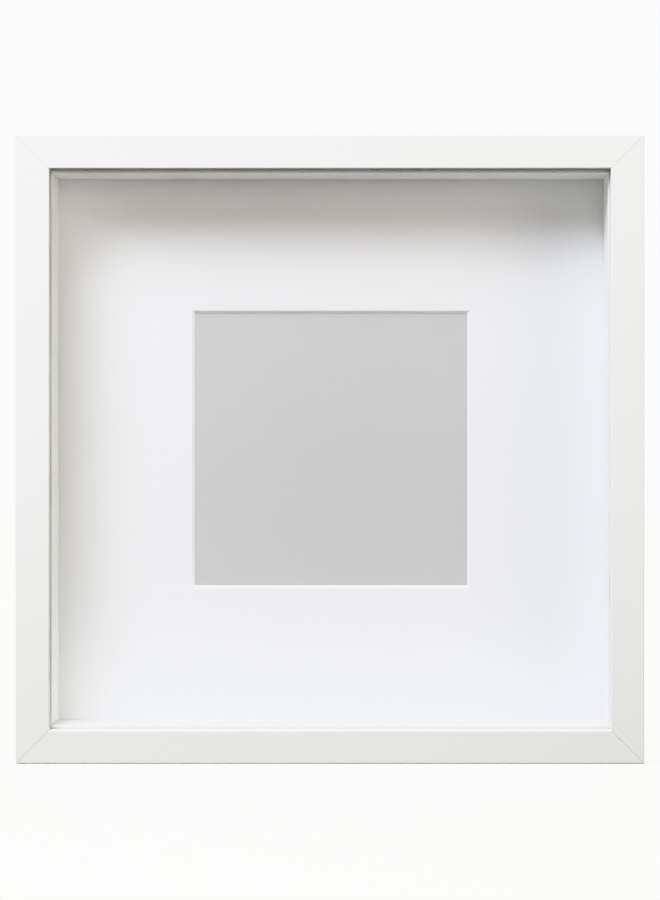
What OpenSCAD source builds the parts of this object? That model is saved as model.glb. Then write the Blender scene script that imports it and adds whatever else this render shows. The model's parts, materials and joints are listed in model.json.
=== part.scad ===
// Deep square picture frame of the kind used as a shadow box. Four mitred mouldings hold a
// clear front sheet, a box of spacer strips, a window mat, a print and a back panel. Thin
// steel tabs in the rabbet are bent flat over the back panel to keep the stack in.
// Origin: middle of the bottom face. +Z up, the front faces -Y, millimetres.

/* [Frame] */
// Side of the square picture that fits the rabbet
picture_size = 250; // [150:10:400]
// Overall depth of the moulding, front to back
frame_depth = 45; // [43:1:60]
// Width of the moulding beside the rabbet
wall_t = 10; // [9:0.5:16]
// How far the front lip covers the picture's edge
lip_cover = 4.5; // [3:0.5:7]
// Thickness of the front lip
lip_t = 5; // [3:0.5:6]
// Radius of the arrises on the front
front_arris_r = 0.6; // [0.3:0.1:1.5]
// Radius of the arrises on the rear
rear_arris_r = 0.4; // [0.2:0.1:1]
// Hairline gap at each mitre
mitre_gap = 0.08; // [0.02:0.02:0.2]

/* [Layers in the rabbet] */
// Play between each layer's edge and the rabbet wall
edge_play = 0.8; // [0.7:0.1:1.5]
// Air between one layer and the next
layer_gap = 0.1; // [0.05:0.05:0.2]
// Thickness of the clear front sheet
sheet_t = 1.2; // [0.8:0.1:2]
// Depth of the spacer, which sets the display depth
spacer_depth = 30; // [10:1:30]
// Thickness of the left and right spacer strips
side_strip_t = 4.2; // [3:0.1:8]
// Thickness of the top and bottom spacer strips
cross_strip_t = 5.2; // [3:0.1:8]
// Thickness of the window mat
mat_t = 1.2; // [0.8:0.1:2]
// Side of the mat's window on its front face
window_size = 122.4; // [60:0.2:200]
// Thickness of the print
print_t = 0.3; // [0.2:0.1:0.5]
// Thickness of the back panel
panel_t = 2.5; // [2.2:0.1:3]

/* [Retaining tabs] */
// Width of a tab
tab_w = 9; // [5:0.5:14]
// Thickness of a tab
tab_t = 0.5; // [0.3:0.05:0.6]
// Length of the leaf that lies on the back panel
leaf_len = 12; // [8:0.5:20]
// Radius of the leaf's corners
leaf_corner_r = 2; // [0.5:0.1:2.4]
// Length of the shank driven into the moulding
shank_len = 8; // [5:0.5:8.5]
// Length of the shank's pointed end
shank_point = 3.5; // [2:0.5:4.5]
// Distance of each tab from the middle of its side
tab_offset = 62.5; // [20:0.5:65]

/* [Corner V-nails] */
// Length of each leg
nail_leg = 5.5; // [4:0.5:6]
// Thickness of the strip
nail_t = 0.6; // [0.4:0.1:0.8]
// Height of the nail, driven in from the rear
nail_h = 12; // [7:1:15]
// Length of the hooked end of each leg
nail_hook = 1.1; // [0.6:0.1:1.2]
// Distance of the nail's corner from both outer faces
nail_inset = 2.6; // [2:0.1:3]
// How far the nail sits below the rear face
nail_sunk = 0.3; // [0.1:0.1:1]

/* [Hanger] */
// Width of the hanger plate
hanger_w = 50; // [46:1:60]
// Height of the hanger plate
hanger_h = 24; // [22:1:30]
// Thickness of the hanger plate
hanger_t = 1; // [0.8:0.1:1.2]
// Height of the plate's raised middle over the back panel, underneath
hanger_rise = 2.8; // [2:0.1:3]
// Half width of the raised middle
hanger_flat = 10.5; // [8:0.5:11]
// Half width at the foot of the slopes
hanger_foot = 14.5; // [13:0.5:15]
// Distance from the middle of the frame up to the middle of the plate
hanger_up = 92; // [60:1:100]
// Radius of the keyhole's round entry
key_entry_r = 4.5; // [3.5:0.1:5]
// Width of the keyhole's slot
key_slot_w = 4.2; // [3:0.1:5]
// Distance from the middle of the entry to the middle of the slot's end
key_slot_len = 9.5; // [8:0.5:11]
// Distance from the middle of the plate down to the entry
key_entry_down = 4.5; // [3:0.5:5]
// Distance of each rivet from the middle of the plate
rivet_offset = 19.5; // [18:0.5:20]

/* [Hidden] */
$fn = 48;

// Sides and corners are numbered as quarter turns about Y, seen from the front:
// side 0 is the bottom, 1 the left, 2 the top and 3 the right, and corner n joins
// side n to side n + 1.
BOTTOM = 0;
LEFT = 1;
TOP = 2;
RIGHT = 3;

half_picture = picture_size / 2;
half_frame = half_picture + wall_t;
face_w = wall_t + lip_cover;
layer_size = picture_size - 2 * edge_play;
half_layer = layer_size / 2;

// Depth positions, from the front face back.
front_y = -frame_depth / 2;
rear_y = frame_depth / 2;
sheet_y = front_y + lip_t + layer_gap;
spacer_y = sheet_y + sheet_t + layer_gap;
mat_y = spacer_y + spacer_depth + layer_gap;
print_y = mat_y + mat_t + layer_gap;
panel_y = print_y + print_t + layer_gap;
panel_rear_y = panel_y + panel_t;
tab_y = panel_rear_y + layer_gap;

// Clearance of a driven fastener in its slot, and of a rivet in its hole.
slot_play = 0.03;
rivet_play = 0.05;
// The leaf's round end runs this far from the shank.
bend_play = 0.02;
bend_z = -half_picture + tab_t / 2 + bend_play;

rivet_shank_r = 1.6;
rivet_head_r = 3;
rivet_head_h = 0.9;
rivet_crown_r = 1.9;
rivet_tail_r = 2.6;
rivet_tail_h = 0.5;
hanger_corner_r = 3;
panel_corner_r = 1;
over = 1;

foil_white = [0.95, 0.96, 0.955];
paper_white = [0.97, 0.975, 0.98];
insert_grey = [0.80, 0.80, 0.80];
board_brown = [0.55, 0.42, 0.30];
steel_grey = [0.72, 0.73, 0.74];
clear_sheet = [0.90, 0.95, 0.97, 0.25];

// Turns something made for the bottom side, about the frame's middle, to another side.
module at_side(side) {
    translate([0, 0, half_frame])
        rotate([0, 90 * side, 0])
            children();
}

// A flat outline drawn in X and Z, given a thickness from y0 towards the rear.
module slab(y0, thickness) {
    translate([0, y0 + thickness, 0])
        rotate([90, 0, 0])
            linear_extrude(thickness)
                children();
}

// What a rounding of radius r takes off a corner at the origin that opens towards +X +Y.
module corner_waste(r) {
    difference() {
        translate([-r, -r])
            square(2 * r);
        translate([r, r])
            circle(r);
        translate([-r, r])
            square([2 * r, r]);
        translate([r, -r])
            square([r, 2 * r]);
    }
}

module rounded_rectangle(w, h, r) {
    square([w - 2 * r, h], center = true);
    square([w, h - 2 * r], center = true);
    for (x = [-1, 1], y = [-1, 1])
        translate([x * (w / 2 - r), y * (h / 2 - r)])
            circle(r);
}

// Section of the moulding: X runs inwards from the outer face, Y from the front back.
module moulding_section() {
    difference() {
        union() {
            square([face_w, lip_t]);
            square([wall_t, frame_depth]);
        }
        corner_waste(front_arris_r);
        translate([face_w, 0])
            rotate(90)
                corner_waste(front_arris_r);
        translate([wall_t, frame_depth])
            rotate(180)
                corner_waste(rear_arris_r);
        translate([0, frame_depth])
            rotate(-90)
                corner_waste(rear_arris_r);
    }
}

// The triangle of the frame that belongs to the bottom side, up to its two mitres.
module mitre_wedge() {
    reach = half_frame - mitre_gap * sqrt(0.5);
    slab(front_y - over, frame_depth + 2 * over)
        polygon([[-reach, -half_frame], [reach, -half_frame], [0, reach - half_frame]]);
}

// A V-nail across the bottom left corner. Its legs follow the two rails and end in hooks.
module v_nail(play = 0) {
    strip = nail_t + 2 * play;
    from = -half_frame + nail_inset;
    leg_end = nail_leg + from;
    bottom_y = rear_y - nail_sunk - nail_h - play;
    height = play > 0 ? nail_h + nail_sunk + over : nail_h;
    slab(bottom_y, height) {
        translate([from - strip / 2, from - strip / 2])
            square([nail_leg + strip, strip]);
        translate([from - strip / 2, from - strip / 2])
            square([strip, nail_leg + strip]);
        translate([leg_end, from])
            rotate(-45)
                translate([-strip / 2, -strip / 2])
                    square([nail_hook + strip, strip]);
        translate([from, leg_end])
            rotate(135)
                translate([-strip / 2, -strip / 2])
                    square([nail_hook + strip, strip]);
    }
}

// The driven end of a bottom tab, flush with the rabbet wall and pointed in the wood.
module tab_shank(x, play = 0) {
    half_w = tab_w / 2 + play;
    shoulder = -half_picture - shank_len + shank_point;
    tip = -half_picture - shank_len - play;
    mouth = play > 0 ? over : 0;
    slab(tab_y - play, tab_t + 2 * play)
        translate([x, 0])
            polygon([
                [-half_w, -half_picture + mouth], [-half_w, shoulder],
                [0, tip], [half_w, shoulder], [half_w, -half_picture + mouth]
            ]);
}

// The free end of a bottom tab. Its round end lies on the line that the tab is bent about.
module tab_leaf(x) {
    translate([x, 0, bend_z]) {
        slab(tab_y, tab_t) {
            translate([-tab_w / 2, 0])
                square([tab_w, leaf_len - leaf_corner_r]);
            translate([leaf_corner_r - tab_w / 2, 0])
                square([tab_w - 2 * leaf_corner_r, leaf_len]);
            for (end = [-1, 1])
                translate([end * (tab_w / 2 - leaf_corner_r), leaf_len - leaf_corner_r])
                    circle(leaf_corner_r);
        }
        translate([0, tab_y + tab_t / 2, 0])
            rotate([0, 90, 0])
                cylinder(h = tab_w, r = tab_t / 2, center = true);
    }
}

module rail(side) {
    color(foil_white)
        at_side(side)
            difference() {
                intersection() {
                    translate([0, front_y, -half_frame])
                        rotate([0, -90, 0])
                            linear_extrude(2 * half_frame, center = true)
                                moulding_section();
                    mitre_wedge();
                }
                v_nail(slot_play);
                mirror([1, 0, 0])
                    v_nail(slot_play);
                for (end = [-1, 1])
                    tab_shank(end * tab_offset, slot_play);
            }
}

module corner_nail(corner) {
    color(steel_grey)
        at_side(corner)
            v_nail();
}

module tab(side, end) {
    color(steel_grey)
        at_side(side)
            tab_leaf(end * tab_offset);
}

module tab_shanks() {
    color(steel_grey)
        for (side = [BOTTOM, LEFT, TOP, RIGHT], end = [-1, 1])
            at_side(side)
                tab_shank(end * tab_offset);
}

module front_sheet() {
    color(clear_sheet)
        at_side(BOTTOM)
            slab(sheet_y, sheet_t)
                square(layer_size, center = true);
}

// The top and bottom strips run the full width.
module cross_strip(side) {
    color(paper_white)
        at_side(side)
            slab(spacer_y, spacer_depth)
                translate([-half_layer, -half_layer])
                    square([layer_size, cross_strip_t]);
}

// The left and right strips stand between the cross strips.
module side_strip(side) {
    length = layer_size - 2 * cross_strip_t;
    color(paper_white)
        at_side(side)
            slab(spacer_y, spacer_depth)
                translate([-length / 2, -half_layer])
                    square([length, side_strip_t]);
}

// Section of the window's 45 degree bevel: wide on the front face, narrow on the rear.
module bevel_section() {
    front_half = window_size / 2 + over;
    rear_half = window_size / 2 - mat_t - over;
    polygon([
        [-front_half, mat_y - over], [front_half, mat_y - over],
        [rear_half, mat_y + mat_t + over], [-rear_half, mat_y + mat_t + over]
    ]);
}

module mat_board() {
    color(paper_white)
        at_side(BOTTOM)
            difference() {
                slab(mat_y, mat_t)
                    square(layer_size, center = true);
                intersection() {
                    linear_extrude(window_size * 2, center = true)
                        bevel_section();
                    rotate([0, 90, 0])
                        linear_extrude(window_size * 2, center = true)
                            bevel_section();
                }
            }
}

module picture_insert() {
    color(insert_grey)
        at_side(BOTTOM)
            slab(print_y, print_t)
                square(layer_size, center = true);
}

// Places something made at the origin, pointing to the rear, at both rivets.
module at_rivets() {
    for (end = [-1, 1])
        translate([end * rivet_offset, panel_rear_y, hanger_up])
            rotate([-90, 0, 0])
                children();
}

module back_panel() {
    tail_room_h = rivet_tail_h + rivet_play;
    color(board_brown)
        at_side(BOTTOM)
            difference() {
                slab(panel_y, panel_t)
                    rounded_rectangle(layer_size, layer_size, panel_corner_r);
                at_rivets() {
                    translate([0, 0, -panel_t - over])
                        cylinder(h = panel_t + 2 * over, r = rivet_shank_r + rivet_play);
                    translate([0, 0, -panel_t - over])
                        cylinder(h = tail_room_h + over, r = rivet_tail_r + rivet_play);
                }
            }
}

// Section of the pressed plate: flat feet, sloped sides and a raised middle.
module hanger_section() {
    slope = atan2(hanger_rise, hanger_foot - hanger_flat);
    shift = hanger_t * tan(slope / 2);
    top = hanger_rise + hanger_t;
    polygon([
        [-hanger_w / 2, 0], [-hanger_foot, 0], [-hanger_flat, hanger_rise],
        [hanger_flat, hanger_rise], [hanger_foot, 0], [hanger_w / 2, 0],
        [hanger_w / 2, hanger_t], [hanger_foot + shift, hanger_t], [hanger_flat + shift, top],
        [-hanger_flat - shift, top], [-hanger_foot - shift, hanger_t], [-hanger_w / 2, hanger_t]
    ]);
}

module hanger_plate() {
    color(steel_grey)
        at_side(BOTTOM)
            difference() {
                intersection() {
                    translate([0, panel_rear_y, hanger_up])
                        linear_extrude(hanger_h, center = true)
                            hanger_section();
                    translate([0, 0, hanger_up])
                        slab(panel_rear_y - over, hanger_rise + hanger_t + 2 * over)
                            rounded_rectangle(hanger_w, hanger_h, hanger_corner_r);
                }
                translate([0, 0, hanger_up - key_entry_down])
                    slab(panel_rear_y, hanger_rise + hanger_t + over) {
                        circle(key_entry_r);
                        translate([-key_slot_w / 2, 0])
                            square([key_slot_w, key_slot_len]);
                        translate([0, key_slot_len])
                            circle(key_slot_w / 2);
                    }
                at_rivets()
                    cylinder(h = hanger_t + over, r = rivet_shank_r + rivet_play);
            }
}

module hanger_rivets() {
    color(steel_grey)
        at_side(BOTTOM)
            at_rivets() {
                translate([0, 0, -panel_t])
                    cylinder(h = panel_t + hanger_t + rivet_play, r = rivet_shank_r);
                translate([0, 0, -panel_t])
                    cylinder(h = rivet_tail_h, r = rivet_tail_r);
                translate([0, 0, hanger_t])
                    cylinder(h = rivet_head_h, r1 = rivet_head_r, r2 = rivet_crown_r);
            }
}

rail(BOTTOM);  // rail_bottom
rail(LEFT);  // rail_left
rail(TOP);  // rail_top
rail(RIGHT);  // rail_right
corner_nail(0);  // v_nail_bottom_left
corner_nail(1);  // v_nail_top_left
corner_nail(2);  // v_nail_top_right
corner_nail(3);  // v_nail_bottom_right
tab_shanks();
tab(BOTTOM, -1);  // tab_bottom_left
tab(BOTTOM, 1);  // tab_bottom_right
tab(LEFT, -1);  // tab_left_top
tab(LEFT, 1);  // tab_left_bottom
tab(TOP, -1);  // tab_top_right
tab(TOP, 1);  // tab_top_left
tab(RIGHT, -1);  // tab_right_bottom
tab(RIGHT, 1);  // tab_right_top
front_sheet();
cross_strip(BOTTOM);  // spacer_bottom
side_strip(LEFT);  // spacer_left
cross_strip(TOP);  // spacer_top
side_strip(RIGHT);  // spacer_right
mat_board();
picture_insert();
back_panel();
hanger_plate();
hanger_rivets();
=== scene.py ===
"""Looks of a deep square picture frame (a shadow box frame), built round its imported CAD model.

The mouldings, V-nails, tab shanks and back panel keep their CAD meshes and get materials here.
The clear sheet, spacer strips, window mat, print, bendable tabs, hanger and rivets are new
meshes that stand for their CAD nodes. Everything is in metres, in the CAD frame: +Z up, the
front faces -Y.
"""

import json

import bpy
import numpy as np
from bpy.props import FloatProperty, FloatVectorProperty, IntProperty, PointerProperty
from bpy.types import Operator, Panel, PropertyGroup
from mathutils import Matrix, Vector


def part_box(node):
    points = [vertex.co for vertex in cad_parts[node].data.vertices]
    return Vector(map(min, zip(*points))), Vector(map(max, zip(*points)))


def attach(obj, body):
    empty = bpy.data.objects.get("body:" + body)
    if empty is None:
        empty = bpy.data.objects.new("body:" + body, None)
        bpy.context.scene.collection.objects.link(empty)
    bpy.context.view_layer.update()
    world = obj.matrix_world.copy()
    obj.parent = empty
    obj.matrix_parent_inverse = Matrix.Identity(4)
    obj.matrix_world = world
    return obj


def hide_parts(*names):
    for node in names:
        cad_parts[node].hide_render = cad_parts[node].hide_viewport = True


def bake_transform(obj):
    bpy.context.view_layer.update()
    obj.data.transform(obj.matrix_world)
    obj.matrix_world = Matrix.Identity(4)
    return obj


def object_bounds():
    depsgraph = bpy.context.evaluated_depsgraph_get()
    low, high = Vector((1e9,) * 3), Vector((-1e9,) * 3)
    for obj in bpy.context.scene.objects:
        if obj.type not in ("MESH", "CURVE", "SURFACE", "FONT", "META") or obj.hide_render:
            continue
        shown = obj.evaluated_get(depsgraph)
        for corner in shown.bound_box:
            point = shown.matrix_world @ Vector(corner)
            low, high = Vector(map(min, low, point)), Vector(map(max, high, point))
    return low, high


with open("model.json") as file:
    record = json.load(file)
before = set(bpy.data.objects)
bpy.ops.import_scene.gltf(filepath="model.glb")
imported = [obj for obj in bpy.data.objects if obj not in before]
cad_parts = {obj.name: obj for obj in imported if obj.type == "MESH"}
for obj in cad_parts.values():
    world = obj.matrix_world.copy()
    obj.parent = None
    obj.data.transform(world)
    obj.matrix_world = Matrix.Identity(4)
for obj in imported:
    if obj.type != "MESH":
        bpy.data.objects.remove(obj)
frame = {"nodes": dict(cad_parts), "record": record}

bl_info = {
    "name": "Deep square picture frame",
    "version": (1, 0, 0),
    "blender": (4, 5, 0),
    "location": "3D View > Sidebar > Shadow Box",
    "description": "Makes the visible pieces of a shadow box frame round its CAD model",
    "category": "Add Mesh",
}

MM = 0.001
CAD_BOUNDS = [list(corner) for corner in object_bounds()]
LOW, HIGH = (np.array(corner) for corner in CAD_BOUNDS)
MIDDLE = (LOW + HIGH) / 2
FRONT_Y = LOW[1]
REAR_Y = HIGH[1]
HALF_FRAME = (HIGH[0] - LOW[0]) / 2

# Corner radii of the layers cut square, and the rounding of the print's trimmed edge.
SHEET_CORNER = 1 * MM
PRINT_CORNER = 0.5 * MM
PRINT_ARRIS = 0.05 * MM
# The hanger plate: its thickness, its corners, half of its raised middle, the length of the
# slopes beside that, the keyhole's slot, and how far above the middle of the keyhole's round
# entry the rays of its mesh start. Then how many rays and rings the mesh has.
PLATE_T = 1 * MM
PLATE_CORNER = 3 * MM
RAISED_HALF = 10.6 * MM
SLOPE_LENGTH = 4 * MM
SLOT_HALF = 2.1 * MM
SLOT_LENGTH = 9.5 * MM
RAYS_START_UP = 3 * MM
PLATE_RAYS = 240
PLATE_RINGS = 64
# The tabs: how far a leaf starts inside the rabbet's wall, and the radius of its corners.
LEAF_IN_WALL = 0.6 * MM
LEAF_CORNER = 2 * MM
# The rivets: their shank, and the flange that they are clinched to on the panel's inner face.
SHANK_R = 1.6 * MM
FLANGE_R = 2.6 * MM
FLANGE_T = 0.5 * MM

# Sides are quarter turns about Y, seen from the front, as in the CAD model.
SIDES = ("bottom", "left", "top", "right")
CORNERS = ("bottom_left", "top_left", "top_right", "bottom_right")
# Each tab's name, its side, and which end of that side it is on.
TABS = (
    ("tab_bottom_left", 0, -1), ("tab_bottom_right", 0, 1),
    ("tab_left_top", 1, -1), ("tab_left_bottom", 1, 1),
    ("tab_top_right", 2, -1), ("tab_top_left", 2, 1),
    ("tab_right_bottom", 3, -1), ("tab_right_top", 3, 1),
)


def extent(node):
    """The lowest and highest corners of a CAD node, as arrays."""
    low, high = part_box(node)
    return np.array(low), np.array(high)


def quarter_turns(points, side):
    """Points made for the bottom side, turned about the frame's middle to another side: x and z
    turn by the cosine and sine of 90 degrees for each step, and y stays."""
    cos, sin = ((1, 0), (0, 1), (-1, 0), (0, -1))[side % 4]
    x = points[..., 0] - MIDDLE[0]
    z = points[..., 2] - MIDDLE[2]
    return np.stack(
        [x * cos + z * sin + MIDDLE[0], points[..., 1], z * cos - x * sin + MIDDLE[2]], axis=-1
    )


# ---------------------------------------------------------------------------------------------
# Settings
# ---------------------------------------------------------------------------------------------


def linear(code):
    """An sRGB hex colour such as "#F2F3F1" as linear red, green, blue and an alpha of 1."""
    srgb = np.array([int(code[i:i + 2], 16) for i in (1, 3, 5)]) / 255
    value = np.where(srgb <= 0.04045, srgb / 12.92, ((srgb + 0.055) / 1.055) ** 2.4)
    return (*value.tolist(), 1.0)


def colour(name, code, description):
    """A colour property whose default is an sRGB hex colour."""
    return FloatVectorProperty(
        name=name, description=description, subtype="COLOR", size=4, min=0, max=1,
        default=linear(code),
    )


def length(name, millimetres, description):
    """A length property whose default is in millimetres and whose value is in metres."""
    return FloatProperty(
        name=name, description=description, subtype="DISTANCE", unit="LENGTH", min=0,
        precision=5, default=millimetres * MM,
    )


class MouldingSettings(PropertyGroup):
    foil: colour("Foil", "#EEEFEF", "White decor foil round the moulding")
    board_light: colour("Bare board", "#C0A887", "Fibreboard where the foil leaves it bare")
    board_dark: colour("Board fibres", "#A08868", "Darker fibres in the bare board")
    foil_return: length("Foil on the rear", 3.2, "How far the foil laps on to the rear face")


class LayerSettings(PropertyGroup):
    spacer: colour("Spacer", "#F7F8F8", "White foil paper round the spacer strips")
    spacer_arris: length("Spacer arris", 0.5, "Radius of the spacer strips' edges")
    mat: colour("Mat face", "#F8F9FF", "Face paper of the mount board")
    mat_core: colour("Mat core", "#FCFCFF", "White core that the bevel shows")
    mat_arris: length("Mat arris", 0.08, "Radius of the mat's cut edges")
    print_grey: colour("Print", "#C3C4CA", "Plain grey print")
    sheet_arris: length("Sheet arris", 0.15, "Radius of the clear sheet's sawn edges")
    panel_light: colour("Back panel", "#A68868", "Smooth face of the hardboard")
    panel_dark: colour("Panel fibres", "#745A43", "Dark fibres in the hardboard")


class HardwareSettings(PropertyGroup):
    zinc: colour("Zinc plate", "#C9CCCD", "Zinc plated steel of the tabs, nails and hanger")
    bend_length: length("Bend", 1.6, "Length of a tab that curves when it is bent up")
    stamped_edge: length("Stamped edge", 0.12, "Rounding of stamped edges")
    rivet_steps: IntProperty(
        name="Rivet steps", description="Points round a rivet", min=12, max=96, default=48
    )


class StageSettings(PropertyGroup):
    distance: length("Camera distance", 1290, "Camera to the frame's front face")
    aside: length("Camera aside", 17, "Camera to the right of the frame's middle")
    lift: length("View lift", 0.3, "How far the frame is raised in the view")
    view_height: length("View height", 386, "What the view's long side takes in at the front")
    backdrop: FloatProperty(
        name="Backdrop", description="Brightness of what shows behind the frame", min=0,
        default=2.2,
    )
    room: colour("Room light", "#FFFDF8", "Even light from all round")
    room_power: FloatProperty(
        name="Room strength", description="Strength of the even light", min=0, default=0.04
    )
    room_gloss: FloatProperty(
        name="Room in gloss", description="Brightness of the room in reflections", min=0,
        default=0.35,
    )
    floor: colour("Floor", "#FAFAF8", "Pale floor under the frame")
    floor_glow: FloatProperty(
        name="Floor glow", description="Light that comes up through the floor", min=0,
        default=0.6,
    )


# ---------------------------------------------------------------------------------------------
# Meshes
# ---------------------------------------------------------------------------------------------


def new_piece(name, points, faces, materials, material_of_face=None):
    """A mesh object at the origin from an array of points and a list of faces. Where faces don't
    all take the first material, material_of_face gives each one's number."""
    mesh = bpy.data.meshes.new(name)
    mesh.from_pydata(points.reshape(-1, 3).tolist(), [], faces)
    for material in materials:
        mesh.materials.append(material)
    if material_of_face is not None:
        mesh.polygons.foreach_set("material_index", material_of_face)
    mesh.validate()
    mesh.update()
    piece = bpy.data.objects.new(name, mesh)
    bpy.context.scene.collection.objects.link(piece)
    return piece


def smooth_bends(piece):
    """Shades a piece smooth, but for edges that turn by more than 40 degrees."""
    piece.data.shade_smooth()
    piece.data.set_sharp_from_angle(angle=np.radians(40))


def quads(rows, columns, close_rows):
    """Quads over a grid of points whose columns close on themselves. Where close_rows is true
    the last row joins the first."""
    row = np.arange(rows if close_rows else rows - 1)[:, None]
    column = np.arange(columns)[None, :]
    next_row = (row + 1) % rows
    next_column = (column + 1) % columns
    grid = np.stack(
        [
            row * columns + column, row * columns + next_column,
            next_row * columns + next_column, next_row * columns + column,
        ],
        axis=-1,
    )
    return grid.reshape(-1, 4)


def carried_solid(name, rings, materials):
    """A closed solid from rings of points, each closed on itself, one after another along a
    path. Neighbouring rings are joined by quads, and the first and last are filled."""
    rows, columns = rings.shape[:2]
    side_faces = quads(rows, columns, False).tolist()
    first = list(range(columns))[::-1]
    last = list(range((rows - 1) * columns, rows * columns))
    return new_piece(name, rings, side_faces + [first, last], materials)


def rounded_rectangle(half_w, half_h, radius, steps=5):
    """Points round a rectangle whose corners are quarter circles. The angle runs through each
    quarter turn in equal steps, and each quarter's centre is inset by the radius."""
    turn = np.linspace(0, np.pi / 2, steps)[None, :] + np.arange(4)[:, None] * np.pi / 2
    sign_u = np.array([1, -1, -1, 1])[:, None]
    sign_v = np.array([1, 1, -1, -1])[:, None]
    u = sign_u * (half_w - radius) + radius * np.cos(turn)
    v = sign_v * (half_h - radius) + radius * np.sin(turn)
    return np.stack([u.ravel(), v.ravel()], axis=-1)


def block(name, low, high, along, corner, arris, materials):
    """A board or strip with rounded edges: a rounded rectangle carried along one axis. Over the
    last of each end the section shrinks along a quarter circle of the arris radius."""
    along = "xyz".index(along)
    across = [(along + 1) % 3, (along + 2) % 3]
    middle = (low + high) / 2
    half = (high - low) / 2
    # From nearly square to the end down to level with the sides.
    angle = np.radians([78, 60, 40, 20, 0])
    inset = arris * (1 - np.cos(angle))
    from_end = arris * (1 - np.sin(angle))
    inset = np.concatenate([inset, inset[::-1]])
    place = np.concatenate([from_end - half[along], (half[along] - from_end)[::-1]])
    least_corner = 0.02 * MM
    rings = []
    for shrink, offset in zip(inset, place):
        flat = rounded_rectangle(
            half[across[0]] - shrink, half[across[1]] - shrink, max(corner - shrink, least_corner)
        )
        ring = np.zeros((len(flat), 3))
        ring[:, across] = flat
        ring[:, along] = offset
        rings.append(ring + middle)
    return carried_solid(name, np.array(rings), materials)


def square_perimeter(steps):
    """Points round a square of half side 1, with the given number of steps on each side."""
    along = np.linspace(-1, 1, steps, endpoint=False)
    one = np.ones(steps)
    x = np.concatenate([along, one, -along, -one])
    z = np.concatenate([-one, along, one, -along])
    return np.stack([x, z], axis=-1)


def mat_piece(name, low, high, window_front, window_rear, arris, materials):
    """A board with a bevelled square window: one section carried round a square path. A point
    of the section at distance a from the middle and depth y goes to a times the unit square's
    perimeter, at depth y, so its corners fall on the square's diagonals."""
    outer = (high[0] - low[0]) / 2
    front, rear = low[1], high[1]
    spread = np.linspace(0, 1, 12)[1:-1]
    face_out = outer - arris
    face_in = window_front + arris
    section = np.array([
        (outer, front + arris), (outer - 0.3 * arris, front + 0.3 * arris), (face_out, front),
        *((a, front) for a in face_out + (face_in - face_out) * spread),
        (face_in, front), (window_front, front + 0.4 * arris),
        (window_rear + arris, rear - 0.8 * arris), (window_rear + arris, rear),
        (face_out, rear), (outer, rear - arris),
    ])
    perimeter = square_perimeter(16)
    points = np.empty((len(section), len(perimeter), 3))
    points[..., 0] = MIDDLE[0] + section[:, None, 0] * perimeter[None, :, 0]
    points[..., 1] = section[:, None, 1]
    points[..., 2] = MIDDLE[2] + section[:, None, 0] * perimeter[None, :, 1]
    faces = quads(len(section), len(perimeter), True)
    # Faces of the cut take the second material: both their ends lie inside the window's edge.
    this_end = np.repeat(section, len(perimeter), axis=0)
    next_end = np.repeat(np.roll(section, -1, axis=0), len(perimeter), axis=0)
    in_window = np.maximum(this_end[:, 0], next_end[:, 0]) < face_in + 0.5 * arris
    before_rear = np.minimum(this_end[:, 1], next_end[:, 1]) < rear - 0.5 * arris
    cut = (in_window & before_rear).astype(np.int32)
    return new_piece(name, points, faces.tolist(), materials, cut)


def leaf_rings(low, high, into_wall, radius):
    """Rings of a flat strip with a rounded tip, from inside the rail out along +Z. The half
    width is full up to the tip's corners, where it follows a circle of the corner radius."""
    half_w = (high[0] - low[0]) / 2
    half_t = (high[1] - low[1]) / 2
    root = low[2] - into_wall
    tip = high[2]
    shoulder = tip - radius
    # Many rings where the strip bends, few along its flat, and more again round its corners.
    bend_end = low[2] + 3 * MM
    angle = np.linspace(0, np.radians(80), 9)
    along = np.concatenate([
        np.linspace(root, bend_end, 22), np.linspace(bend_end, shoulder, 6)[1:-1],
        shoulder + radius * np.sin(angle),
    ])
    past = np.clip((along - shoulder) / radius, 0, 1)
    width = half_w - radius + radius * np.sqrt(1 - past ** 2)
    edge = 0.45 * half_t
    rings = []
    for place, half in zip(along, width):
        flat = rounded_rectangle(half, half_t, edge, 4)
        ring = np.empty((len(flat), 3))
        ring[:, 0] = (low[0] + high[0]) / 2 + flat[:, 0]
        ring[:, 1] = (low[1] + high[1]) / 2 + flat[:, 1]
        ring[:, 2] = place
        rings.append(ring)
    return np.array(rings)


def reach(inside, centre, directions, furthest):
    """How far each ray from centre goes before it leaves a shape, found by halving: inside
    takes points and is true within the shape."""
    near = np.zeros(len(directions))
    far = np.full(len(directions), furthest)
    for _ in range(40):
        half = (near + far) / 2
        within = inside(centre + half[:, None] * directions)
        near = np.where(within, half, near)
        far = np.where(within, far, half)
    return near


def in_rounded_box(points, half_w, half_h, radius):
    """Points whose distance to the box shrunk by the radius is below the radius."""
    beyond = np.abs(points) - np.array([half_w - radius, half_h - radius])
    return np.hypot(*np.clip(beyond, 0, None).T) < radius


def in_keyhole(points, entry_r, slot_half, slot_len):
    """Points in the round entry at (0, 0), or in the slot, a capsule that runs up from it."""
    in_entry = np.hypot(*points.T) < entry_r
    rise = np.clip(points[:, 1], 0, slot_len)
    in_slot = np.hypot(points[:, 0], points[:, 1] - rise) < slot_half
    return in_entry | in_slot


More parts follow.
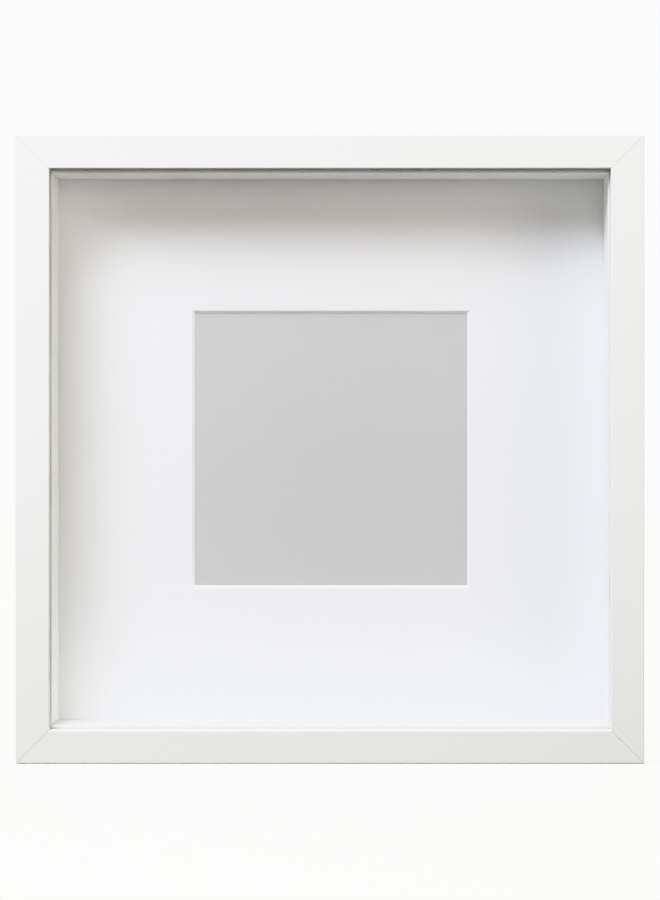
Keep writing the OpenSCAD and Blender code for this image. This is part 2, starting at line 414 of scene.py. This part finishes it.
def revolved(name, profile, centres, steps, materials):
    """Solids of revolution about Y, one at each centre, from (radius, height) points. The point
    at angle t is radius times its cosine in x and sine in z, and its height is added to y."""
    turn = np.linspace(0, 2 * np.pi, steps, endpoint=False)
    radius, height = np.array(profile).T
    ring = np.stack(
        [
            radius[:, None] * np.cos(turn), height[:, None] + 0 * turn,
            -radius[:, None] * np.sin(turn),
        ],
        axis=-1,
    )
    points = np.concatenate([ring + centre for centre in centres])
    side = quads(len(radius), steps, False)
    faces = []
    for index in range(len(centres)):
        start = index * ring.shape[0] * steps
        last = start + (ring.shape[0] - 1) * steps
        faces += (side + start).tolist()
        faces += [list(range(start, start + steps))[::-1], list(range(last, last + steps))]
    piece = new_piece(name, points, faces, materials)
    smooth_bends(piece)
    return piece


# ---------------------------------------------------------------------------------------------
# Materials
# ---------------------------------------------------------------------------------------------


# A Mix node's sockets by number, because their names repeat for each type of data.
FACTOR, FLOAT_A, FLOAT_B, COLOUR_A, COLOUR_B = 0, 2, 3, 6, 7
MIXED_COLOUR = 2


def add(tree, kind, inputs=None, **settings):
    """Adds a node, sets its settings, and sets or links its inputs."""
    made = tree.nodes.new(kind)
    for key, value in settings.items():
        setattr(made, key, value)
    for key, value in (inputs or {}).items():
        if isinstance(value, bpy.types.NodeSocket):
            tree.links.new(value, made.inputs[key])
        else:
            made.inputs[key].default_value = value
    return made


def material(name):
    """An empty material, its node tree and its output."""
    made = bpy.data.materials.new(name)
    made.use_nodes = True
    made.node_tree.nodes.clear()
    return made, made.node_tree, add(made.node_tree, "ShaderNodeOutputMaterial")


def per_metre(millimetres):
    """The scale at which a pattern repeats about every so many millimetres."""
    return 1 / (millimetres * MM)


# The foil's drag lines are some thirty times as long as they are wide.
LINE_STRETCH = 0.03


def satin_foil_on_fibreboard(name, settings, stretch):
    """Decor foil wrapped round a fibreboard moulding and lacquered: an even, slightly soft
    white with a satin gloss, faint drag lines along the rail from the wrapping machine, and
    bare brown board in the rabbet and inside the foil's edge on the rear. The pattern's scale
    is small along the rail, by stretch, which draws the lines out."""
    made, tree, output = material(name)
    place = add(tree, "ShaderNodeTexCoord").outputs["Object"]
    x, y, z = add(tree, "ShaderNodeSeparateXYZ", {0: place}).outputs
    from_side = add(tree, "ShaderNodeMath", {0: x}, operation="ABSOLUTE").outputs[0]
    rise = add(tree, "ShaderNodeMath", {0: z, 1: MIDDLE[2]}, operation="SUBTRACT").outputs[0]
    from_middle = add(tree, "ShaderNodeMath", {0: rise}, operation="ABSOLUTE").outputs[0]
    ring = add(
        tree, "ShaderNodeMath", {0: from_side, 1: from_middle}, operation="MAXIMUM"
    ).outputs[0]

    # The foil's cut edge wanders by about a tenth of a millimetre.
    wander = add(tree, "ShaderNodeTexNoise", {"Vector": place, "Scale": per_metre(9)})
    edge = add(
        tree, "ShaderNodeMath", {0: wander.outputs["Fac"], 1: 0.3 * MM, 2: ring},
        operation="MULTIPLY_ADD",
    ).outputs[0]
    inside_foil = add(
        tree, "ShaderNodeMath", {0: edge, 1: HALF_FRAME - settings.foil_return},
        operation="LESS_THAN",
    ).outputs[0]
    at_rear = add(
        tree, "ShaderNodeMath", {0: y, 1: REAR_Y - 0.05 * MM}, operation="GREATER_THAN"
    ).outputs[0]
    rear_bare = add(
        tree, "ShaderNodeMath", {0: inside_foil, 1: at_rear}, operation="MULTIPLY"
    ).outputs[0]

    # The rabbet's walls lie a little outside the clear sheet, and are bare behind its rear face.
    sheet_high = extent("front_sheet")[1]
    in_rabbet = add(
        tree, "ShaderNodeMath", {0: ring, 1: sheet_high[0] + 1.2 * MM}, operation="LESS_THAN"
    ).outputs[0]
    behind_sheet = add(
        tree, "ShaderNodeMath", {0: y, 1: sheet_high[1]}, operation="GREATER_THAN"
    ).outputs[0]
    rabbet_bare = add(
        tree, "ShaderNodeMath", {0: in_rabbet, 1: behind_sheet}, operation="MULTIPLY"
    ).outputs[0]
    bare = add(
        tree, "ShaderNodeMath", {0: rear_bare, 1: rabbet_bare}, operation="MAXIMUM"
    ).outputs[0]

    # Bare board: short pressed fibres, about half a millimetre wide.
    fibres = add(
        tree, "ShaderNodeTexNoise",
        {"Vector": place, "Scale": per_metre(0.7), "Detail": 4.0, "Roughness": 0.7},
    )
    board = add(
        tree, "ShaderNodeMix",
        {
            FACTOR: fibres.outputs["Fac"],
            COLOUR_A: settings.board_dark, COLOUR_B: settings.board_light,
        },
        data_type="RGBA",
    ).outputs[MIXED_COLOUR]

    # The foil is a hair uneven in tone over some centimetres.
    cloud = add(tree, "ShaderNodeTexNoise", {"Vector": place, "Scale": per_metre(60)})
    tone = add(
        tree, "ShaderNodeMapRange",
        {"Value": cloud.outputs["Fac"], "To Min": 0.985, "To Max": 1.0},
    ).outputs[0]
    foil = add(
        tree, "ShaderNodeMix", {FACTOR: 1.0, COLOUR_A: settings.foil, COLOUR_B: tone},
        data_type="RGBA", blend_type="MULTIPLY",
    ).outputs[MIXED_COLOUR]
    base = add(
        tree, "ShaderNodeMix", {FACTOR: bare, COLOUR_A: foil, COLOUR_B: board},
        data_type="RGBA",
    ).outputs[MIXED_COLOUR]

    # Drag lines a couple of centimetres long and half a millimetre wide.
    lengthwise = add(tree, "ShaderNodeMapping", {"Vector": place, "Scale": stretch}).outputs[0]
    drag = add(
        tree, "ShaderNodeTexNoise",
        {"Vector": lengthwise, "Scale": per_metre(0.6), "Detail": 2.0},
    ).outputs["Fac"]
    satin = add(
        tree, "ShaderNodeMapRange", {"Value": drag, "To Min": 0.36, "To Max": 0.46}
    ).outputs[0]
    rough = add(
        tree, "ShaderNodeMix", {FACTOR: bare, FLOAT_A: satin, FLOAT_B: 0.9}, data_type="FLOAT"
    ).outputs[0]

    # The board's grain telegraphs through the foil as orange peel under 3 mm across.
    peel = add(
        tree, "ShaderNodeTexNoise",
        {"Vector": place, "Scale": per_metre(2.6), "Detail": 1.0},
    ).outputs["Fac"]
    relief = add(
        tree, "ShaderNodeMix",
        {FACTOR: bare, FLOAT_A: peel, FLOAT_B: fibres.outputs["Fac"]}, data_type="FLOAT",
    ).outputs[0]
    bump = add(
        tree, "ShaderNodeBump", {"Height": relief, "Strength": 0.25, "Distance": 0.03 * MM}
    )
    shader = add(
        tree, "ShaderNodeBsdfPrincipled",
        {"Base Color": base, "Roughness": rough, "IOR": 1.5, "Normal": bump.outputs[0]},
    )
    tree.links.new(shader.outputs[0], output.inputs[0])
    return made


def paper(name, base, fibre_mm, roughness, depth_mm, mottling):
    """Uncoated paper: a matt surface with short felted fibres and a very slight cloudiness
    where it is thicker and thinner. Its fibres repeat every fibre_mm and stand depth_mm high,
    and mottling is how much darker its clouds are."""
    made, tree, output = material(name)
    place = add(tree, "ShaderNodeTexCoord").outputs["Object"]
    cloud = add(
        tree, "ShaderNodeTexNoise",
        {"Vector": place, "Scale": per_metre(7), "Detail": 3.0, "Roughness": 0.6},
    )
    tone = add(
        tree, "ShaderNodeMapRange",
        {"Value": cloud.outputs["Fac"], "To Min": 1 - mottling, "To Max": 1.0},
    ).outputs[0]
    shade = add(
        tree, "ShaderNodeMix", {FACTOR: 1.0, COLOUR_A: base, COLOUR_B: tone},
        data_type="RGBA", blend_type="MULTIPLY",
    ).outputs[MIXED_COLOUR]
    fibres = add(
        tree, "ShaderNodeTexNoise",
        {"Vector": place, "Scale": per_metre(fibre_mm), "Detail": 5.0, "Distortion": 0.6},
    ).outputs["Fac"]
    rough = add(
        tree, "ShaderNodeMapRange",
        {"Value": fibres, "To Min": roughness - 0.06, "To Max": roughness + 0.04},
    ).outputs[0]
    bump = add(
        tree, "ShaderNodeBump",
        {"Height": fibres, "Strength": 0.35, "Distance": depth_mm * MM},
    )
    shader = add(
        tree, "ShaderNodeBsdfPrincipled",
        {"Base Color": shade, "Roughness": rough, "IOR": 1.45, "Normal": bump.outputs[0]},
    )
    tree.links.new(shader.outputs[0], output.inputs[0])
    return made


def glowing_acrylic(settings):
    """White acrylic light table: a matt white sheet, lit evenly from below, with a fine haze
    in its gloss."""
    made, tree, output = material("white_acrylic_light_table")
    place = add(tree, "ShaderNodeTexCoord").outputs["Object"]
    haze = add(tree, "ShaderNodeTexNoise", {"Vector": place, "Scale": per_metre(4)})
    rough = add(
        tree, "ShaderNodeMapRange", {"Value": haze.outputs["Fac"], "To Min": 0.85, "To Max": 0.95}
    ).outputs[0]
    shader = add(
        tree, "ShaderNodeBsdfPrincipled",
        {
            "Base Color": settings.floor, "Roughness": rough, "Specular IOR Level": 0.1,
            "Emission Color": settings.floor, "Emission Strength": settings.floor_glow,
        },
    )
    tree.links.new(shader.outputs[0], output.inputs[0])
    return made


def clear_polystyrene():
    """Extruded polystyrene sheet: colourless, sharp gloss on both faces and no blur. It is so thin
    that it doesn't bend what is seen through it, so it lets light straight through, less the
    share that its faces reflect: about a twentieth straight on, and more at a slant."""
    made, tree, output = material("clear_polystyrene_sheet")
    slant = add(tree, "ShaderNodeLayerWeight", {"Blend": 0.5}).outputs["Facing"]
    steep = add(tree, "ShaderNodeMath", {0: slant, 1: 5.0}, operation="POWER").outputs[0]
    share = add(
        tree, "ShaderNodeMapRange", {"Value": steep, "To Min": 0.05, "To Max": 1.0}
    ).outputs[0]
    through = add(tree, "ShaderNodeBsdfTransparent", {"Color": linear("#FDFDFD")})
    gloss = add(tree, "ShaderNodeBsdfGlossy", {"Roughness": 0.02})
    surface = add(
        tree, "ShaderNodeMixShader", {0: share, 1: through.outputs[0], 2: gloss.outputs[0]}
    )
    tree.links.new(surface.outputs[0], output.inputs[0])
    return made


def hardboard(settings):
    """Hardboard, smooth side out: brown wood fibres hot pressed into a hard sheet. Short dark
    fibres lie every way on a softly clouded brown, and the face has a waxy satin gloss. The
    fibres are drawn about 0.4 mm wide, twice their real width, so that they show."""
    made, tree, output = material("hot_pressed_hardboard")
    place = add(tree, "ShaderNodeTexCoord").outputs["Object"]
    cloud = add(
        tree, "ShaderNodeTexNoise",
        {"Vector": place, "Scale": per_metre(24), "Detail": 5.0, "Roughness": 0.65},
    ).outputs["Fac"]
    # Fibres that lie three ways: each pattern is stretched along one way, and the darkest shows.
    fibres = None
    for turn_deg in (12, 74, 131):
        turned = add(
            tree, "ShaderNodeMapping", {"Vector": place, "Rotation": (0, np.radians(turn_deg), 0)}
        ).outputs[0]
        stretched = add(
            tree, "ShaderNodeMapping", {"Vector": turned, "Scale": (0.16, 1, 1)}
        ).outputs[0]
        grain = add(
            tree, "ShaderNodeTexNoise",
            {"Vector": stretched, "Scale": per_metre(0.55), "Detail": 2.0, "Distortion": 0.4},
        ).outputs["Fac"]
        fibres = grain if fibres is None else add(
            tree, "ShaderNodeMath", {0: grain, 1: fibres}, operation="MAXIMUM"
        ).outputs[0]
    flecks = add(
        tree, "ShaderNodeMapRange", {"Value": fibres, "From Min": 0.56, "From Max": 0.80}
    ).outputs[0]
    clouded = add(
        tree, "ShaderNodeMapRange",
        {"Value": cloud, "From Min": 0.3, "From Max": 0.7, "To Min": 0.0, "To Max": 0.3},
    ).outputs[0]
    amount = add(
        tree, "ShaderNodeMath", {0: flecks, 1: 0.8, 2: clouded},
        operation="MULTIPLY_ADD", use_clamp=True,
    ).outputs[0]
    base = add(
        tree, "ShaderNodeMix",
        {FACTOR: amount, COLOUR_A: settings.panel_light, COLOUR_B: settings.panel_dark},
        data_type="RGBA",
    ).outputs[MIXED_COLOUR]
    rough = add(
        tree, "ShaderNodeMapRange", {"Value": fibres, "To Min": 0.38, "To Max": 0.66}
    ).outputs[0]
    bump = add(
        tree, "ShaderNodeBump", {"Height": fibres, "Strength": 0.3, "Distance": 0.05 * MM}
    )
    shader = add(
        tree, "ShaderNodeBsdfPrincipled",
        {"Base Color": base, "Roughness": rough, "IOR": 1.5, "Normal": bump.outputs[0]},
    )
    tree.links.new(shader.outputs[0], output.inputs[0])
    return made


def zinc_plated_steel(name, settings):
    """Cold rolled strip, stamped and bright zinc plated: a bluish grey metal with fine rolling
    lines, a slightly cloudy gloss and small dull patches."""
    made, tree, output = material(name)
    place = add(tree, "ShaderNodeTexCoord").outputs["Object"]
    rolled = add(
        tree, "ShaderNodeMapping", {"Vector": place, "Scale": (0.06, 1, 1)}
    ).outputs[0]
    lines = add(
        tree, "ShaderNodeTexNoise", {"Vector": rolled, "Scale": per_metre(0.25), "Detail": 3.0}
    ).outputs["Fac"]
    patches = add(
        tree, "ShaderNodeTexNoise", {"Vector": place, "Scale": per_metre(3), "Detail": 3.0}
    ).outputs["Fac"]
    both = add(
        tree, "ShaderNodeMath", {0: lines, 1: 0.5, 2: patches}, operation="MULTIPLY_ADD"
    ).outputs[0]
    rough = add(
        tree, "ShaderNodeMapRange",
        {"Value": both, "From Min": 0.4, "From Max": 1.1, "To Min": 0.26, "To Max": 0.46},
    ).outputs[0]
    tone = add(
        tree, "ShaderNodeMapRange",
        {"Value": patches, "From Min": 0.3, "From Max": 0.7, "To Min": 0.86, "To Max": 1.0},
    ).outputs[0]
    base = add(
        tree, "ShaderNodeMix", {FACTOR: 1.0, COLOUR_A: settings.zinc, COLOUR_B: tone},
        data_type="RGBA", blend_type="MULTIPLY",
    ).outputs[MIXED_COLOUR]
    bump = add(
        tree, "ShaderNodeBump", {"Height": lines, "Strength": 0.2, "Distance": 0.01 * MM}
    )
    shader = add(
        tree, "ShaderNodeBsdfPrincipled",
        {"Base Color": base, "Metallic": 1.0, "Roughness": rough, "Normal": bump.outputs[0]},
    )
    tree.links.new(shader.outputs[0], output.inputs[0])
    return made


def plated_steel(context):
    """The steel of all the hardware, which is made once and shared."""
    name = "zinc_plated_strip_steel"
    settings = context.scene.shadow_box_hardware
    return bpy.data.materials.get(name) or zinc_plated_steel(name, settings)


def finish_cad_node(node, finish):
    """Gives a CAD node that stays as it is its material."""
    mesh = frame["nodes"][node].data
    mesh.materials.clear()
    mesh.materials.append(finish)


# ---------------------------------------------------------------------------------------------
# Operators, one for each piece or group of like pieces
# ---------------------------------------------------------------------------------------------


class SHADOWBOX_OT_rails(Operator):
    """Finish the four mitred mouldings in white foil over fibreboard"""

    bl_idname = "shadow_box.rails"
    bl_label = "Mouldings"

    def execute(self, context):
        settings = context.scene.shadow_box_moulding
        level = satin_foil_on_fibreboard(
            "white_foil_on_level_rails", settings, (LINE_STRETCH, 1, 1)
        )
        upright = satin_foil_on_fibreboard(
            "white_foil_on_upright_rails", settings, (1, 1, LINE_STRETCH)
        )
        for side, name in enumerate(SIDES):
            finish_cad_node(f"rail_{name}", upright if side % 2 else level)
        return {"FINISHED"}


class SHADOWBOX_OT_corner_nails(Operator):
    """Finish the V-nails and the driven ends of the tabs in plated steel"""

    bl_idname = "shadow_box.corner_nails"
    bl_label = "V-nails and tab shanks"

    def execute(self, context):
        steel = plated_steel(context)
        for corner in CORNERS:
            finish_cad_node(f"v_nail_{corner}", steel)
        finish_cad_node("tab_shanks", steel)
        return {"FINISHED"}


class SHADOWBOX_OT_front_sheet(Operator):
    """Make the clear sheet behind the front lip"""

    bl_idname = "shadow_box.front_sheet"
    bl_label = "Clear front sheet"

    def execute(self, context):
        settings = context.scene.shadow_box_layers
        low, high = extent("front_sheet")
        sheet = block(
            "clear_sheet", low, high, "y", SHEET_CORNER, settings.sheet_arris,
            [clear_polystyrene()],
        )
        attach(sheet, "sheet")
        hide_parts("front_sheet")
        return {"FINISHED"}


class SHADOWBOX_OT_spacer(Operator):
    """Make the four paper covered strips that hold the mat back from the front"""

    bl_idname = "shadow_box.spacer"
    bl_label = "Spacer strips"

    def execute(self, context):
        settings = context.scene.shadow_box_layers
        cover = paper("white_paper_on_spacer", settings.spacer, 0.5, 0.62, 0.03, 0.02)
        for side, name in enumerate(SIDES):
            low, high = extent(f"spacer_{name}")
            strip = block(
                f"spacer_strip_{name}", low, high, "z" if side % 2 else "x",
                settings.spacer_arris, settings.spacer_arris, [cover],
            )
            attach(strip, "spacer")
            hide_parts(f"spacer_{name}")
        return {"FINISHED"}


def window_half_sides():
    """Half the mat window's side on the front face and on the rear face, read from the CAD mat:
    the points nearest the middle, on each face."""
    points = np.array([v.co for v in frame["nodes"]["mat_board"].data.vertices])
    size = np.abs(points[:, [0, 2]] - MIDDLE[[0, 2]]).max(axis=1)
    on_front = points[:, 1] < points[:, 1].mean()
    return size[on_front].min(), size[~on_front].min()


class SHADOWBOX_OT_mat(Operator):
    """Make the window mat with its bevelled opening"""

    bl_idname = "shadow_box.mat"
    bl_label = "Window mat"

    def execute(self, context):
        settings = context.scene.shadow_box_layers
        low, high = extent("mat_board")
        window_front, window_rear = window_half_sides()
        board = mat_piece(
            "window_mat", low, high, window_front, window_rear, settings.mat_arris,
            [
                paper("mount_board_face_paper", settings.mat, 0.45, 0.88, 0.05, 0.012),
                paper("mount_board_core", settings.mat_core, 0.3, 0.92, 0.04, 0.01),
            ],
        )
        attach(board, "mat")
        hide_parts("mat_board")
        return {"FINISHED"}


class SHADOWBOX_OT_picture(Operator):
    """Make the plain grey print behind the mat"""

    bl_idname = "shadow_box.picture"
    bl_label = "Print"

    def execute(self, context):
        settings = context.scene.shadow_box_layers
        low, high = extent("picture_insert")
        sheet = block(
            "grey_print", low, high, "y", PRINT_CORNER, PRINT_ARRIS,
            [paper("grey_printed_paper", settings.print_grey, 0.4, 0.8, 0.02, 0.006)],
        )
        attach(sheet, "print")
        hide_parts("picture_insert")
        return {"FINISHED"}


class SHADOWBOX_OT_back_panel(Operator):
    """Finish the back panel as smooth hardboard"""

    bl_idname = "shadow_box.back_panel"
    bl_label = "Back panel"

    def execute(self, context):
        finish_cad_node("back_panel", hardboard(context.scene.shadow_box_layers))
        return {"FINISHED"}


class SHADOWBOX_OT_tabs(Operator):
    """Make the eight steel tabs, which bend at the rabbet wall"""

    bl_idname = "shadow_box.tabs"
    bl_label = "Bendable tabs"

    def execute(self, context):
        steel = plated_steel(context)
        low, high = extent("tab_bottom_left")
        aside = abs(low[0] + high[0]) / 2
        half_w = (high[0] - low[0]) / 2
        for name, side, along in TABS:
            offset = np.array([along * aside, 0, 0])
            lowest = offset + np.array([-half_w, low[1], low[2]])
            highest = offset + np.array([half_w, high[1], high[2]])
            rings = leaf_rings(lowest, highest, LEAF_IN_WALL, LEAF_CORNER)
            strip = carried_solid(
                name.replace("tab_", "steel_tab_"), quarter_turns(rings, side), [steel]
            )
            smooth_bends(strip)
            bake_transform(strip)
            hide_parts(name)
        return {"FINISHED"}


def hanger_piece(name, materials):
    """A pressed plate with a keyhole. Rays at equal angles run from a point in the keyhole; a
    point of the plate lies a share of the way from the ray's exit from the keyhole to its exit
    from the outline. Its height is that of the raised middle, and falls smoothly to the feet
    with the distance from the middle line. The upper and lower sheets join at both edges."""
    low, high = extent("hanger_plate")
    rise = high[1] - low[1] - PLATE_T
    half_w, half_h = (high[0] - low[0]) / 2, (high[2] - low[2]) / 2
    middle = (low + high) / 2
    mounts = frame["record"]["mounts"]
    entry = next(mount for mount in mounts if mount["name"] == "hanger_keyhole")
    entry_r = entry["dims"]["r_mm"] * MM
    entry_y = entry["pos_m"][2] - middle[2]
    start = np.array([0, entry_y + RAYS_START_UP])
    turn = np.linspace(0, 2 * np.pi, PLATE_RAYS, endpoint=False)
    rays = np.stack([np.cos(turn), np.sin(turn)], axis=-1)
    furthest = 2 * half_w
    hole = reach(
        lambda p: in_keyhole(p - np.array([0, entry_y]), entry_r, SLOT_HALF, SLOT_LENGTH),
        start, rays, furthest,
    )
    rim = reach(
        lambda p: in_rounded_box(p, half_w, half_h, PLATE_CORNER), start, rays, furthest
    )
    share = np.linspace(0, 1, PLATE_RINGS)[:, None, None]
    flat = start + rays * (hole[:, None] + (rim - hole)[:, None] * share)
    slope = np.clip((np.abs(flat[..., 0]) - RAISED_HALF) / SLOPE_LENGTH, 0, 1)
    height = rise * (1 - slope * slope * (3 - 2 * slope))
    lower = np.stack([flat[..., 0], height, flat[..., 1]], axis=-1)
    upper = lower + np.array([0, PLATE_T, 0])
    points = np.concatenate([upper, lower[::-1]])
    points += np.array([middle[0], low[1], middle[2]])
    faces = quads(len(points), points.shape[1], True)
    piece = new_piece(name, points, faces[:, ::-1].tolist(), materials)
    smooth_bends(piece)
    return piece


class SHADOWBOX_OT_hanger(Operator):
    """Make the pressed keyhole plate that the frame hangs by"""

    bl_idname = "shadow_box.hanger"
    bl_label = "Hanger plate"

    def execute(self, context):
        settings = context.scene.shadow_box_hardware
        steel = plated_steel(context)
        plate = hanger_piece("keyhole_hanger", [steel])
        edges = plate.modifiers.new("stamped edges", "BEVEL")
        edges.width = settings.stamped_edge
        edges.segments = 2
        edges.limit_method = "ANGLE"
        edges.angle_limit = np.radians(50)
        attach(plate, "back")
        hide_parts("hanger_plate")
        return {"FINISHED"}


class SHADOWBOX_OT_rivets(Operator):
    """Make the two tubular rivets of the hanger"""

    bl_idname = "shadow_box.rivets"
    bl_label = "Hanger rivets"

    def execute(self, context):
        settings = context.scene.shadow_box_hardware
        steel = plated_steel(context)
        low, high = extent("hanger_rivets")
        head_r = (high[2] - low[2]) / 2
        seat = extent("back_panel")[1][1] + PLATE_T
        head_h = high[1] - seat
        foot = low[1] - seat
        bowl = np.radians(np.linspace(8, 90, 10))
        dome = [(head_r * np.sin(a), head_h * (0.15 + 0.85 * np.cos(a))) for a in bowl]
        # From the bottom of the head's dimple over its dome, down the shank and round the flange.
        profile = [
            (0.15 * head_r, 0.45 * head_h), (0.3 * head_r, 0.5 * head_h),
            (0.38 * head_r, 0.93 * head_h), *[point for point in dome if point[0] > 0.45 * head_r],
            (head_r, 0.0), (SHANK_R, 0.0), (SHANK_R, foot + FLANGE_T),
            (FLANGE_R - 0.1 * MM, foot + FLANGE_T), (FLANGE_R, foot + 0.1 * MM),
            (FLANGE_R - 0.2 * MM, foot),
        ]
        centres = [
            np.array([x, seat, (low[2] + high[2]) / 2])
            for x in (low[0] + head_r, high[0] - head_r)
        ]
        rivets = revolved("tubular_rivets", profile, centres, settings.rivet_steps, [steel])
        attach(rivets, "back")
        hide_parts("hanger_rivets")
        return {"FINISHED"}


# Lights too far off to fall away: name, bearing to the right of the front and rise above level
# in degrees, how wide the light is in degrees, the irradiance over pi, and the tint.
FAR_LIGHTS = (
    ("left_key", -40, 35, 30, 0.25, "#FBFDFF"),
    ("front", 0, 5, 30, 0.105, "#FFF9E6"),
    ("right_fill", 50, 5, 30, 0.32, "#FFFBEE"),
    ("overhead", 0, 88, 30, 0.8, "#FFFFFF"),
    ("right_side", 112, 20, 30, 0.4, "#FFFEFA"),
    ("rear", 150, 40, 30, 0.4, "#FFFFFF"),
)
# A sun's distance only sets where its symbol stands.
SUN_DISTANCE = 3
# Square lights near by: name, metres from the frame's middle, side in metres, watts, and tint.
SOFT_BOXES = (
    ("top_left_box", (-0.38, -0.6, 0.7), 0.5, 11.0, "#FAFCFF"),
    ("right_box", (0.6, -0.6, 0.2), 0.5, 0.6, "#FFF9E6"),
    ("rear_box", (-0.6, 1.3, 0.7), 1.4, 16.0, "#FFFDFA"),
)


def towards(bearing, rise):
    """The unit vector to a light: bearing is measured from straight in front to the right, and
    rise from level up."""
    turn, lift = np.radians([bearing, rise])
    return np.array([np.sin(turn) * np.cos(lift), -np.cos(turn) * np.cos(lift), np.sin(lift)])


def add_light(name, kind, place, energy, tint):
    """A light at a place, aimed at the frame's middle, which the camera doesn't see."""
    data = bpy.data.lights.new(name, kind)
    data.energy = energy
    data.color = linear(tint)[:3]
    light = bpy.data.objects.new(name, data)
    bpy.context.scene.collection.objects.link(light)
    light.location = place
    light.rotation_euler = Vector(MIDDLE - place).to_track_quat("-Z", "Y").to_euler()
    light.visible_camera = False
    return data


def far_light(name, bearing, rise, spread, strength, tint):
    """A sun: its strength is the brightness it gives a white surface that faces it."""
    place = MIDDLE + SUN_DISTANCE * towards(bearing, rise)
    data = add_light(name, "SUN", place, strength * np.pi, tint)
    data.angle = np.radians(spread)


def soft_box(name, place, size, power, tint):
    """A square area light."""
    add_light(name, "AREA", MIDDLE + np.array(place), power, tint).size = size


# Far enough for every view of the frame, in metres.
FLOOR_RADIUS = 6


def floor_piece(settings):
    """A round floor: rings of points at even steps of radius and angle, at height zero. It
    lights nothing itself and shows in no gloss, so the frame keeps its own shades."""
    radius = np.linspace(0.02, FLOOR_RADIUS, 24)[:, None]
    turn = np.linspace(0, 2 * np.pi, 96, endpoint=False)[None, :]
    points = np.stack([radius * np.cos(turn), radius * np.sin(turn), 0 * radius * turn], axis=-1)
    faces = quads(radius.shape[0], turn.shape[1], False)[:, ::-1].tolist()
    faces.append(list(range(turn.shape[1])))
    floor = new_piece("floor", points, faces, [glowing_acrylic(settings)])
    floor.visible_diffuse = False
    floor.visible_glossy = False


def room_light(settings):
    """Even light from all round, a white room in reflections, and a pure white backdrop behind
    everything, each of its own strength."""
    world = bpy.data.worlds.new("white_room")
    bpy.context.scene.world = world
    world.use_nodes = True
    tree = world.node_tree
    tree.nodes.clear()
    ray = add(tree, "ShaderNodeLightPath").outputs
    white = linear("#FFFFFF")
    looks = (
        (settings.room, settings.room_power), (white, settings.room_gloss),
        (white, settings.backdrop),
    )
    lit, mirrored, shown = (
        add(tree, "ShaderNodeBackground", {"Color": shade, "Strength": strength}).outputs[0]
        for shade, strength in looks
    )
    room = add(tree, "ShaderNodeMixShader", {0: ray["Is Glossy Ray"], 1: lit, 2: mirrored})
    either = add(
        tree, "ShaderNodeMixShader", {0: ray["Is Camera Ray"], 1: room.outputs[0], 2: shown}
    )
    output = add(tree, "ShaderNodeOutputWorld")
    tree.links.new(either.outputs[0], output.inputs[0])


def camera(settings):
    """A level camera square to the front, a little to the right of the middle. A small lens
    shift keeps the frame in the middle of the picture. The lens is to the sensor's side as the
    distance is to the view's height."""
    data = bpy.data.cameras.new("camera")
    data.sensor_width = 36
    data.lens = data.sensor_width * settings.distance / settings.view_height
    data.shift_x = -settings.aside / settings.view_height
    data.shift_y = -settings.lift / settings.view_height
    eye = bpy.data.objects.new("camera", data)
    bpy.context.scene.collection.objects.link(eye)
    eye.location = (MIDDLE[0] + settings.aside, FRONT_Y - settings.distance, MIDDLE[2])
    eye.rotation_euler = (np.pi / 2, 0, 0)
    bpy.context.scene.camera = eye


class SHADOWBOX_OT_stage(Operator):
    """Set the pale floor, the soft lights and the camera"""

    bl_idname = "shadow_box.stage"
    bl_label = "Floor, lights and camera"

    def execute(self, context):
        settings = context.scene.shadow_box_stage
        floor_piece(settings)
        room_light(settings)
        for name, bearing, rise, spread, strength, tint in FAR_LIGHTS:
            far_light(name, bearing, rise, spread, strength, tint)
        for name, place, size, power, tint in SOFT_BOXES:
            soft_box(name, place, size, power, tint)
        camera(settings)
        context.scene.view_settings.view_transform = "Khronos PBR Neutral"
        return {"FINISHED"}


# ---------------------------------------------------------------------------------------------
# Panel and registration
# ---------------------------------------------------------------------------------------------

STEPS = (
    "rails", "corner_nails", "front_sheet", "spacer", "mat", "picture", "back_panel", "tabs",
    "hanger", "rivets", "stage",
)
SETTINGS = {
    "shadow_box_moulding": MouldingSettings,
    "shadow_box_layers": LayerSettings,
    "shadow_box_hardware": HardwareSettings,
    "shadow_box_stage": StageSettings,
}


class SHADOWBOX_PT_panel(Panel):
    """Lists the pieces' operators and settings in the sidebar"""

    bl_idname = "SHADOWBOX_PT_panel"
    bl_label = "Shadow Box"
    bl_space_type = "VIEW_3D"
    bl_region_type = "UI"
    bl_category = "Shadow Box"

    def draw(self, context):
        for step in STEPS:
            self.layout.operator(f"shadow_box.{step}")
        for name, group in SETTINGS.items():
            box = self.layout.box()
            for key in group.__annotations__:
                box.prop(getattr(context.scene, name), key)


CLASSES = (
    *SETTINGS.values(),
    SHADOWBOX_OT_rails, SHADOWBOX_OT_corner_nails, SHADOWBOX_OT_front_sheet,
    SHADOWBOX_OT_spacer, SHADOWBOX_OT_mat, SHADOWBOX_OT_picture, SHADOWBOX_OT_back_panel,
    SHADOWBOX_OT_tabs, SHADOWBOX_OT_hanger, SHADOWBOX_OT_rivets, SHADOWBOX_OT_stage,
    SHADOWBOX_PT_panel,
)


def register():
    for item in CLASSES:
        bpy.utils.register_class(item)
    for name, group in SETTINGS.items():
        setattr(bpy.types.Scene, name, PointerProperty(type=group))


def unregister():
    for name in SETTINGS:
        delattr(bpy.types.Scene, name)
    for item in reversed(CLASSES):
        bpy.utils.unregister_class(item)


def main():
    """Makes every piece and the stage."""
    register()
    for step in STEPS:
        getattr(bpy.ops.shadow_box, step)()


if __name__ == "__main__":
    main()
